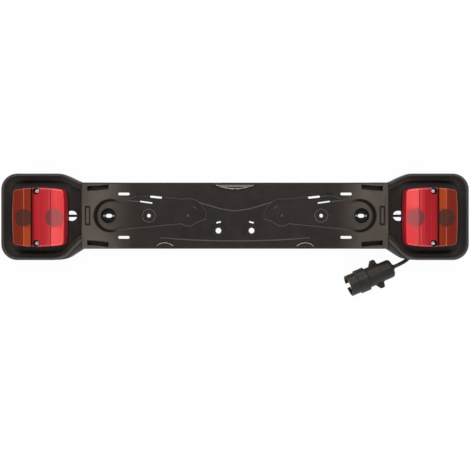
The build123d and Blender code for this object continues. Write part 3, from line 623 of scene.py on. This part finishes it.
# Dull zinc reads as a pale non-metal; its pale pink tone is partly painted, a painted glint with a painted
# reflection of the red lens
zinc_painted_glint = metal("screw_zinc", (0.90, 0.80, 0.79), (0.98, 0.90, 0.89), roughness=0.38, metallic=0.0)
for screw_node in lamp_nodes("lens_screws"):
    screw_piece = lens_screws(screw_node)
    screw_piece.data.materials.clear()
    screw_piece.data.materials.append(zinc_painted_glint.material)

# Lenses: places on the right lamp, which the left one mirrors, counted from the joint of the windows
red_low, red_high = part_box("right_red_lens")
joint_x = (red_high.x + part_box("right_amber_lens")[0].x) / 2
lamp_y = (red_low.y + red_high.y) / 2
lens_rim_zs = (red_high.z - 0.0110, red_high.z - 0.0035)
flank_xs = (red_low.x + 0.0046, red_low.x + 0.0071)
flute_pitch = 0.005
flute_share = 0.10
flute_height = 0.0001
flute_strength = 0.4
streak_scale = 48.0
streak_detail = 2.0
streak_stretch = (1, 0.05, 1)
streak_share = 0.30
highlight_shares = (0.7, 0.1)
stripe_half = 0.0003
stripe_soft = 0.0005
glow_soft = 0.001
glow_turn = (0.0030, 0.0075)
disc_y = lamp_y - 0.0010
disc_soft = 0.0012
disc_turn = (-0.003, 0.002)
ring_pitch = 0.0026
ring_shares = (0.7, 0.92)
shade_and_joint_red = (0.018, 0.004, 0.004)
joint_half = 0.0009
joint_soft = 0.0005
joint_fade = (0.0062, 0.0018)
joint_fade_share = 0.7
pocket_rs = (0.0054, 0.0062)
face_roughness = 0.14
disc_roughness = 0.34


def lens_shade(g):
    """Share of painted shade beside the joint of the two windows and round the screws, and of the dark line
    at the joint itself.
    """
    fade_xs = [joint_x - reach for reach in joint_fade]
    end_xs = (joint_x + joint_half, joint_x + joint_half + joint_soft)
    near_joint = g.both(g.ramp(g.side(), 0.0, joint_fade_share, *fade_xs), g.fall(g.side(), end_xs))
    line = g.band(g.side(), (joint_x - joint_half, joint_x + joint_half), joint_soft)
    shade = g.math("MAXIMUM", near_joint, line)
    for x, y in screw_places("right_lens_screws")[1]:
        shade = g.math("MAXIMUM", shade, g.fall(g.distance(x, y), pocket_rs))
    return shade


def lens(name, deep, bright, highlight_span, edge, lit_flank, glow, stripe, stripe_at, disc_lit, disc_shaded, disc_at,
         disc_r):
    """Coloured window: upright flutes, a painted highlight towards its inner end, a painted glow, painted
    shade on its sides, a duller round patch over the bulb painted lit and shaded, a dark joint line with
    painted shade beside it and round the screws.
    """
    g = Graph(name)
    side = g.side()
    stripe_x = joint_x + stripe_at
    flutes = g.wave(side, flute_pitch, 0.0, 1.0)
    streaks = g.mottle(0.0, 1.0, streak_scale, streak_detail, streak_stretch)
    share = g.math("ADD", g.math("MULTIPLY", flutes, flute_share), g.math("MULTIPLY", streaks, streak_share))
    highlight_xs = [joint_x + at for at in highlight_span]
    # Painted highlight: the window is painted brighter towards its inner end
    share = g.math("ADD", share, g.ramp(side, *highlight_shares, *highlight_xs), clamp=True)
    g.colour = g.mix(share, deep, bright)
    # Painted glow, standing for light on the window: it lies high on the right lamp and low on the left one,
    # as if turned about the board's middle
    turned_up = g.math("MULTIPLY", g.axis("X"), g.math("SUBTRACT", g.axis("Y"), disc_y))
    g.paint(g.both(g.rise(turned_up, glow_turn), g.fall(side, (stripe_x - glow_soft, stripe_x))), glow)
    g.paint(g.band(side, (stripe_x - stripe_half, stripe_x + stripe_half), stripe_soft), stripe)
    # Painted shade on the window's sides below its top, with a painted highlight on the inner flank
    g.paint(g.fall(g.axis("Z"), lens_rim_zs), g.mix(g.fall(side, flank_xs), edge, lit_flank))
    from_disc = g.distance(joint_x + disc_at, disc_y)
    patch = g.fall(from_disc, (disc_r - disc_soft, disc_r))
    # The round patch is painted lit, a painted highlight, on its inner part and shaded on its outer part
    patch_colour = g.mix(g.rise(side, [stripe_x + turn for turn in disc_turn]), disc_lit, disc_shaded)
    g.paint(g.both(patch, g.wave(from_disc, ring_pitch, *ring_shares)), patch_colour)
    # Painted shade beside the joint and in the screws' pockets, with the dark joint line
    g.paint(lens_shade(g), shade_and_joint_red)
    g.gloss = g.ramp(patch, face_roughness, disc_roughness)
    g.roughen(flutes, flute_height, flute_strength)
    g.close()
    g.set(Transmission_Weight=0.06, IOR=1.49)
    return g


red = lens(
    "red_lens", deep=(0.26, 0.006, 0.013), bright=(0.71, 0.045, 0.050), highlight_span=(-0.044, -0.018),
    edge=(0.16, 0.005, 0.010), lit_flank=(0.46, 0.012, 0.022), glow=(0.80, 0.074, 0.076),
    stripe=(0.17, 0.006, 0.012), stripe_at=-0.0334, disc_lit=(0.28, 0.064, 0.067), disc_shaded=(0.072, 0.018, 0.018),
    disc_at=-0.0393, disc_r=0.0162)
dress(red, *lamp_nodes("red_lens"))
amber = lens(
    "amber_lens", deep=(0.165, 0.0165, 0.010), bright=(0.25, 0.030, 0.012), highlight_span=(0.002, 0.022),
    edge=(0.09, 0.010, 0.005), lit_flank=(0.09, 0.010, 0.005), glow=(0.36, 0.050, 0.014),
    stripe=(0.46, 0.13, 0.06), stripe_at=0.0131, disc_lit=(0.036, 0.012, 0.007), disc_shaded=(0.034, 0.012, 0.006),
    disc_at=0.0133, disc_r=0.0160)
dress(amber, *lamp_nodes("amber_lens"))

# White floor: paper that glows for the camera alone, by a share that leaves the object's shadow on it
floor_half = 6.0
floor_white = 0.9
floor_mottle = 0.01
fibre_scale = 30.0
floor_glow_share = 0.955

floor_data = bpy.data.meshes.new("floor")
floor_corners = [(-1, -1), (1, -1), (1, 1), (-1, 1)]
floor_data.from_pydata([(x * floor_half, y * floor_half, 0) for x, y in floor_corners], [], [(0, 1, 2, 3)])
floor = bpy.data.objects.new("floor", floor_data)
scene.collection.objects.link(floor)

paper = Graph("paper")
paper.tree.nodes.remove(paper.shader)
diffuse = paper.add("ShaderNodeBsdfDiffuse")
fibre = paper.mottle(floor_white - floor_mottle, floor_white + floor_mottle, fibre_scale)
paper.join(fibre, diffuse.inputs["Color"])
glow = paper.add("ShaderNodeEmission")
glow.inputs["Color"].default_value = (1, 1, 1, 1)
ray = paper.add("ShaderNodeLightPath")
blend = paper.add("ShaderNodeMixShader")
paper.join(paper.math("MULTIPLY", ray.outputs["Is Camera Ray"], floor_glow_share), blend.inputs["Fac"])
paper.join(diffuse.outputs[0], blend.inputs[1])
paper.join(glow.outputs[0], blend.inputs[2])
paper.join(blend.outputs[0], paper.output.inputs["Surface"])
floor_data.materials.append(paper.material)

# Studio light: a sky that is bright at the horizon and dim overhead, and soft lamps
horizon_strength = 0.75
overhead_strength = 0.05
overhead_height = 0.8

world = bpy.data.worlds.new("studio")
world.use_nodes = True
scene.world = world
sky_nodes = world.node_tree.nodes
sky_links = world.node_tree.links
sky = sky_nodes["Background"]
sky.inputs["Color"].default_value = (1, 1, 1, 1)
sky_ray = sky_nodes.new("ShaderNodeLightPath")
sky_direction = sky_nodes.new("ShaderNodeTexCoord")
sky_height = sky_nodes.new("ShaderNodeSeparateXYZ")
sky_level = sky_nodes.new("ShaderNodeMapRange")
sky_level.inputs["From Max"].default_value = overhead_height
sky_level.inputs["To Min"].default_value = horizon_strength
sky_level.inputs["To Max"].default_value = overhead_strength
seen_sky = sky_nodes.new("ShaderNodeMath")
seen_sky.operation = "MAXIMUM"
sky_links.new(sky_direction.outputs["Generated"], sky_height.inputs[0])
sky_links.new(sky_height.outputs["Z"], sky_level.inputs["Value"])
sky_links.new(sky_ray.outputs["Is Camera Ray"], seen_sky.inputs[0])
sky_links.new(sky_level.outputs["Result"], seen_sky.inputs[1])
sky_links.new(seen_sky.outputs[0], sky.inputs["Strength"])


def softbox(name, place, aim, width, height, power):
    """Area lamp turned to a point."""
    data = bpy.data.lights.new(name, "AREA")
    data.shape = "RECTANGLE"
    data.size = width
    data.size_y = height
    data.energy = power
    lamp = bpy.data.objects.new(name, data)
    lamp.location = place
    lamp.rotation_euler = (Vector(aim) - Vector(place)).to_track_quat("-Z", "Y").to_euler()
    scene.collection.objects.link(lamp)


board_centre = (0, 0, 0.03)
softbox("back_strip", place=(0, 1.3, 0.5), aim=board_centre, width=2.4, height=0.5, power=12)
softbox("front_strip", place=(0, -1.3, 0.5), aim=board_centre, width=2.4, height=0.5, power=8)
softbox("back_key", place=(0, 0.85, 1.8), aim=board_centre, width=1.8, height=0.4, power=18)
softbox("front_key", place=(0, -0.9, 1.8), aim=board_centre, width=1.8, height=0.4, power=14.5)
for sign in (-1, 1):
    softbox("side_strip", place=(sign * 1.4, 0, 0.55), aim=board_centre, width=1.2, height=0.5, power=3)
    softbox("overhead_strip", place=(sign * 0.27, 0.1, 1.9), aim=(sign * 0.3, 0, 0), width=0.08, height=1.0,
            power=0.5)

# Smooth shading on the CAD nodes that show, with creases kept
crease_angle = 25
for node in nodes.values():
    if not node.hide_render:
        node.data.shade_smooth()
        node.data.set_sharp_from_angle(angle=radians(crease_angle))

bpy.context.view_layer.update()
